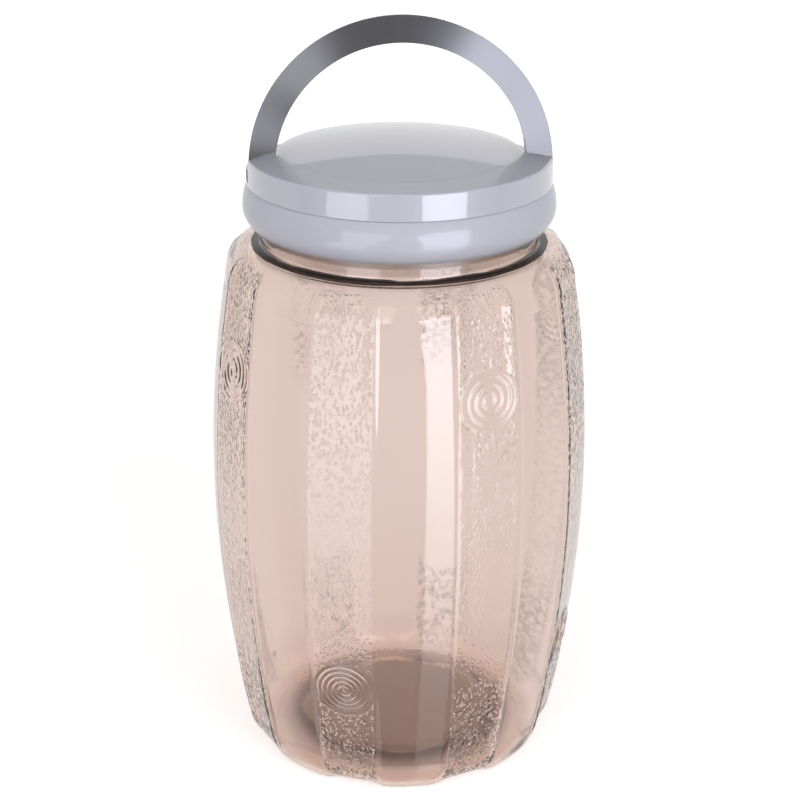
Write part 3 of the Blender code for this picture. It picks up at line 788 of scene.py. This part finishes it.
def apply_booleans(mesh, helpers, bevel):
    """The mesh after exact Booleans with the helpers, with its edges rounded."""
    base = bpy.data.objects.new("boolean_base", mesh)
    bpy.context.scene.collection.objects.link(base)
    for helper, operation in helpers:
        step = base.modifiers.new("cut", "BOOLEAN")
        step.operation = operation
        step.solver = "EXACT"
        step.object = helper
    if bevel:
        rounded = base.modifiers.new("rounded", "BEVEL")
        rounded.width = bevel * MM
        rounded.segments = 3
        rounded.limit_method = "ANGLE"
        rounded.angle_limit = BEVEL_ANGLE
        rounded.use_clamp_overlap = True
    bpy.context.view_layer.update()
    graph = bpy.context.evaluated_depsgraph_get()
    made = bpy.data.meshes.new_from_object(base.evaluated_get(graph))
    for old in [base] + [helper for helper, _ in helpers]:
        bpy.data.objects.remove(old, do_unlink=True)
    return made


def half_ring(inner, outer, front):
    """A plan outline behind the front line, from one radius to the other."""
    plan = []
    for radius, order in ((outer, 1), (inner, -1)):
        span = math.pi - math.acos(-front(radius) / radius)
        points = []
        for i in range(97):
            angle = math.pi - span + 2 * span * i / 96
            points.append((radius * math.sin(angle), -radius * math.cos(angle)))
        plan += points[::order]
    return plan


def make_collar(surface):
    crescent = DOME_RADIUS + GAP
    top = COLLAR_EDGE_HEIGHT
    outline = [(COLLAR_BORE_RADIUS, COLLAR_FOOT)]
    outline += arc((COLLAR_RADIUS - 0.3, COLLAR_FOOT + 0.3), (0.3, 0.3), -90, 0, 2)
    outline += arc((COLLAR_RADIUS - 0.8, top - 0.8), (0.8, 0.8), 0, 84, 5)
    rim_start = len(outline)
    outline += [(COLLAR_RADIUS - 2.5, top + 0.12), (COLLAR_RADIUS - 7.0, top + 0.5)]
    outline += arc((crescent + 0.35, top + 0.55), (0.35, 0.35), 90, 180, 3)
    outline += [(crescent, COLLAR_WALL_HEIGHT), (COLLAR_BORE_RADIUS, COLLAR_WALL_HEIGHT)]

    def climb(index, angle):
        if not rim_start <= index < len(outline) - 2:
            return 0.0
        share = (COLLAR_RADIUS - outline[index][0]) / (COLLAR_RADIUS - crescent)
        return CRESCENT_SIDE_RISE * share * math.sin(angle) ** 2

    mesh = lathe("lid_collar", outline, closed=True, climb=climb)
    past = COLLAR_RADIUS + OVERRUN
    wall = DOME_RADIUS

    def end_line(radius):
        return leaned_front(radius) - GAP

    back = -PIVOT_FORWARD + LUG_RADIUS + GAP
    floor = PIVOT_HEIGHT - LUG_RADIUS - GAP
    helpers = [(prism("recess", half_ring(wall, past, end_line), REAR_DECK_HEIGHT, top + 6), "DIFFERENCE")]
    for side in (-1, 1):
        plan = [(wall, end_line(wall)), (past, end_line(past)), (past, back), (wall, back)]
        plan = [(side * x, y) for x, y in plan]
        helpers.append((prism("pocket", plan, floor, REAR_DECK_HEIGHT + OVERRUN), "DIFFERENCE"))
        ends = sorted((side * (COLLAR_BORE_RADIUS - OVERRUN), side * (wall + OVERRUN)))
        helpers.append((rod("pin_hole", PIN_RADIUS + GAP, *ends), "DIFFERENCE"))
    mesh = apply_booleans(mesh, helpers, 0.25)
    finish_piece("lid_collar", mesh, surface, "lid", "handle_collar", sharp=BEVEL_ANGLE)


def make_dome(surface):
    sphere = (DOME_RADIUS**2 + DOME_RISE**2) / (2 * DOME_RISE)
    crown = DOME_EDGE_HEIGHT + DOME_RISE
    skirt = COLLAR_BORE_RADIUS - GAP
    seat = DOME_EDGE_HEIGHT - 2.4
    outline = [(0.0, crown - 2.0)]
    for i in range(1, 9):
        reach = (skirt - 1.7) * i / 8
        outline.append((reach, crown - 2.0 - sphere + math.sqrt(sphere**2 - reach**2)))
    outline += [(skirt - 1.7, seat - 6.0), (skirt, seat - 6.0), (skirt, seat), (DOME_RADIUS - 0.2, seat)]
    outline += [(DOME_RADIUS, seat + 0.2)]
    outline += arc((DOME_RADIUS - 0.6, DOME_EDGE_HEIGHT - 0.6), (0.6, 0.6), 0, 75, 4)
    for i in range(1, 24):
        reach = (DOME_RADIUS - 0.7) * (24 - i) / 24
        outline.append((reach, crown - sphere + math.sqrt(sphere**2 - reach**2)))
    outline.append((0.0, crown))
    finish_piece("lid_dome", lathe("lid_dome", outline), surface, "lid", "dome_cover")


# Handle

def make_handle():
    surface = plastic("smoky_pearl", HANDLE_TONES, 0.13, 0.06, metallic=0.4, grain_scale=2600.0)
    back = -PIVOT_FORWARD - HANDLE_BACK_OFFSET
    inner, outer = HANDLE_INNER_RADIUS, HANDLE_OUTER_RADIUS
    section = [
        (inner, leaned_front(inner)),
        (outer, leaned_front(outer)),
        (outer - HANDLE_DRAFT, back),
        (inner, back),
    ]
    centre = PIVOT_HEIGHT + PIVOT_FORWARD
    toe = PIVOT_HEIGHT - LUG_RADIUS
    rings = []
    for side in (1, -1):
        lower = [(side * r, max(y, leaned_front(r) + HANDLE_TOE_CHAMFER), toe) for r, y in section]
        upper = [(side * r, y, toe + HANDLE_TOE_CHAMFER) for r, y in section]
        rings.append([lower, upper])
    sweep = []
    for i in range(129):
        angle = math.pi * i / 128
        sweep.append([(r * math.cos(angle), y, centre + r * math.sin(angle)) for r, y in section])
    rings = rings[0] + sweep + rings[1][::-1]
    points = [tuple(c * MM for c in p) for ring in rings for p in ring]
    faces = []
    for i in range(len(rings) - 1):
        for j in range(4):
            k = (j + 1) % 4
            faces.append((i * 4 + j, i * 4 + k, i * 4 + 4 + k, i * 4 + 4 + j))
    last = 4 * (len(rings) - 1)
    faces += [(0, 1, 2, 3), (last, last + 1, last + 2, last + 3)]
    mesh = solid_mesh("handle_bow", points, faces)
    helpers = []
    for side in (-1, 1):
        ends = sorted((side * (inner + 0.5), side * (outer - HANDLE_DRAFT - 0.5)))
        helpers.append((rod("lug", LUG_RADIUS, *ends), "UNION"))
        ends = sorted((side * (COLLAR_BORE_RADIUS + GAP), side * (inner + 2.1)))
        helpers.append((rod("pin", PIN_RADIUS, *ends), "UNION"))
    mesh = apply_booleans(mesh, helpers, 0.45)
    finish_piece(
        "handle_bow", mesh, surface, "handle", "carry_handle", sharp=BEVEL_ANGLE
    )


# Light, floor and camera

def make_world():
    world = bpy.data.worlds.new("studio")
    bpy.context.scene.world = world
    world.use_nodes = True
    world.cycles.sampling_method = "NONE"
    g = Graph(world.node_tree)
    way = g.add("ShaderNodeTexCoord").outputs["Generated"]
    parts = g.add("ShaderNodeSeparateXYZ", {"Vector": way})
    x, y, z = parts.outputs
    azimuth = g.sum("ARCTAN2", x, g.sum("MULTIPLY", y, -1.0))
    from_view = g.sum("SUBTRACT", azimuth, FRONT_VIEW_AZIMUTH)

    # The room, and the soft boxes' near and far edges as angles from the photo's view
    behind = g.span(y, -0.25, 0.15)
    wall = g.sum("MULTIPLY", g.span(z, *WALL_EDGE, 1.0, 0.0), behind)
    bare = g.span(behind, 0.0, 1.0, ROOM_FRONT_LEVEL, ROOM_BACK_LEVEL)
    room = g.span(wall, 0.0, 1.0, bare, 1.0, smooth=False)
    right_near = g.sum(
        "MAXIMUM",
        g.span(z, -0.15, 0.02, math.radians(16), math.radians(12)),
        g.span(z, 0.10, 0.13, math.radians(12), math.radians(19)),
    )
    left_near = g.sum(
        "MINIMUM",
        g.span(z, -0.22, -0.19, math.radians(21), math.radians(13)),
        g.span(z, -0.10, 0.02, math.radians(21), math.radians(4)),
    )
    left_far = g.span(z, -0.30, -0.16, math.radians(55), math.radians(40))
    boxes = None
    for side, near, blur, far, share in (
        (1, right_near, 1.5, math.radians(50), 1.0),
        (-1, left_near, 4.0, left_far, LEFT_BOX_SHARE),
    ):
        aside = g.sum("MULTIPLY", from_view, float(side))
        box = g.span(aside, near, g.sum("ADD", near, math.radians(blur)))
        beyond = g.sum("ADD", far, BOX_FAR_BLUR)
        box = g.sum("MULTIPLY", box, g.span(aside, far, beyond, share, 0.0))
        boxes = g.sum("ADD", boxes, box) if boxes else box
    boxes = g.sum("MULTIPLY", boxes, g.span(z, *BOX_HEAD, 1.0, 0.0))
    boxes = g.sum("MULTIPLY", boxes, g.span(z, *BOX_FADE, 0.12, 0.95, smooth=False))
    gloss = g.sum("ADD", room, g.sum("MULTIPLY", boxes, BOX_LEVEL))

    through = g.span(z, 0.5, 0.9, 1.0, 0.5)
    kinds = g.add("ShaderNodeLightPath").outputs
    soft = g.sum(
        "MULTIPLY", g.span(z, -0.2, 1.0, 0.86, 0.72), g.span(y, -1.0, 0.4, 1.22, 0.50, smooth=False)
    )
    level = soft
    for kind, shown in (("Is Glossy Ray", gloss), ("Is Transmission Ray", through), ("Is Camera Ray", 1.0)):
        change = g.sum("MULTIPLY", kinds[kind], g.sum("SUBTRACT", shown, level))
        level = g.sum("ADD", level, change)
    cool = g.sum("MULTIPLY", g.sum("MINIMUM", boxes, 1.0), kinds["Is Glossy Ray"])
    colour = g.mix(cool, (1, 1, 1, 1), BOX_TINT)
    glow = g.add("ShaderNodeBackground", {"Color": colour, "Strength": level})
    out = g.add("ShaderNodeOutputWorld")
    g.put(out.inputs["Surface"], glow.outputs[0])


def make_floor():
    made, g = new_material("white_floor")
    kinds = g.add("ShaderNodeLightPath").outputs
    through = g.sum("MULTIPLY", kinds["Is Transmission Ray"], 0.40)
    place = position(g)
    lit = g.span(g.vector("LENGTH", place), 0.3, 1.2, 0.48, 0.75)
    strength = g.sum("ADD", g.sum("MULTIPLY", kinds["Is Camera Ray"], lit), through)
    drift = g.noise(place, 3.0, 2.0)
    paint = g.mix(drift, (0.83, 0.83, 0.83, 1), (0.85, 0.85, 0.85, 1))
    matt = g.add("ShaderNodeBsdfDiffuse", {"Color": paint})
    glow = g.add("ShaderNodeEmission", {"Color": (1, 1, 1, 1), "Strength": strength})
    both = g.add("ShaderNodeAddShader")
    g.put(both.inputs[0], matt.outputs[0])
    g.put(both.inputs[1], glow.outputs[0])
    g.output(both.outputs[0])
    mesh = bpy.data.meshes.new("floor")
    corners = [(-1, -1), (1, -1), (1, 1), (-1, 1)]
    mesh.from_pydata([(x * FLOOR_REACH, y * FLOOR_REACH, 0) for x, y in corners], [], [(0, 1, 2, 3)])
    mesh.materials.append(made)
    floor = bpy.data.objects.new("floor", mesh)
    floor.location.z = -FLOOR_DROP
    floor.visible_glossy = False
    bpy.context.scene.collection.objects.link(floor)


def add_lamp(name, place, power):
    lamp = bpy.data.lights.new(name, "AREA")
    lamp.shape = "RECTANGLE"
    lamp.size, lamp.size_y = LAMP_SIZE
    lamp.energy = power
    made = bpy.data.objects.new(name, lamp)
    made.location = place
    made.rotation_euler = (Vector(LAMP_AIM) - Vector(place)).to_track_quat("-Z", "Y").to_euler()
    made.visible_glossy = False
    made.visible_camera = False
    bpy.context.scene.collection.objects.link(made)


def make_camera():
    data = bpy.data.cameras.new("camera")
    data.lens = CAMERA_LENS
    data.sensor_width = 36.0
    data.clip_start = 0.01
    camera = bpy.data.objects.new("camera", data)
    bpy.context.scene.collection.objects.link(camera)
    place = Vector(CAMERA_PLACE)
    forward = (Vector(CAMERA_AIM) - place).normalized()
    right = forward.cross(Vector((0, 0, 1))).normalized()
    up = right.cross(forward)
    side = math.cos(CAMERA_ROLL) * right + math.sin(CAMERA_ROLL) * up
    top = -math.sin(CAMERA_ROLL) * right + math.cos(CAMERA_ROLL) * up
    turn = Matrix((side, top, -forward)).transposed()
    camera.matrix_world = Matrix.Translation(place) @ turn.to_4x4()
    bpy.context.scene.camera = camera


def main():
    for name in ("Cube", "Light", "Camera"):
        if name in bpy.data.objects:
            bpy.data.objects.remove(bpy.data.objects[name], do_unlink=True)
    bpy.context.scene.view_settings.view_transform = "Standard"
    make_jar()
    make_lid()
    make_handle()
    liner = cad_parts["sealing_liner"]
    liner.data.materials.clear()
    liner.data.materials.append(foam_material())
    make_world()
    make_floor()
    add_lamp("key", KEY_PLACE, KEY_POWER)
    add_lamp("fill", FILL_PLACE, FILL_POWER)
    make_camera()


main()
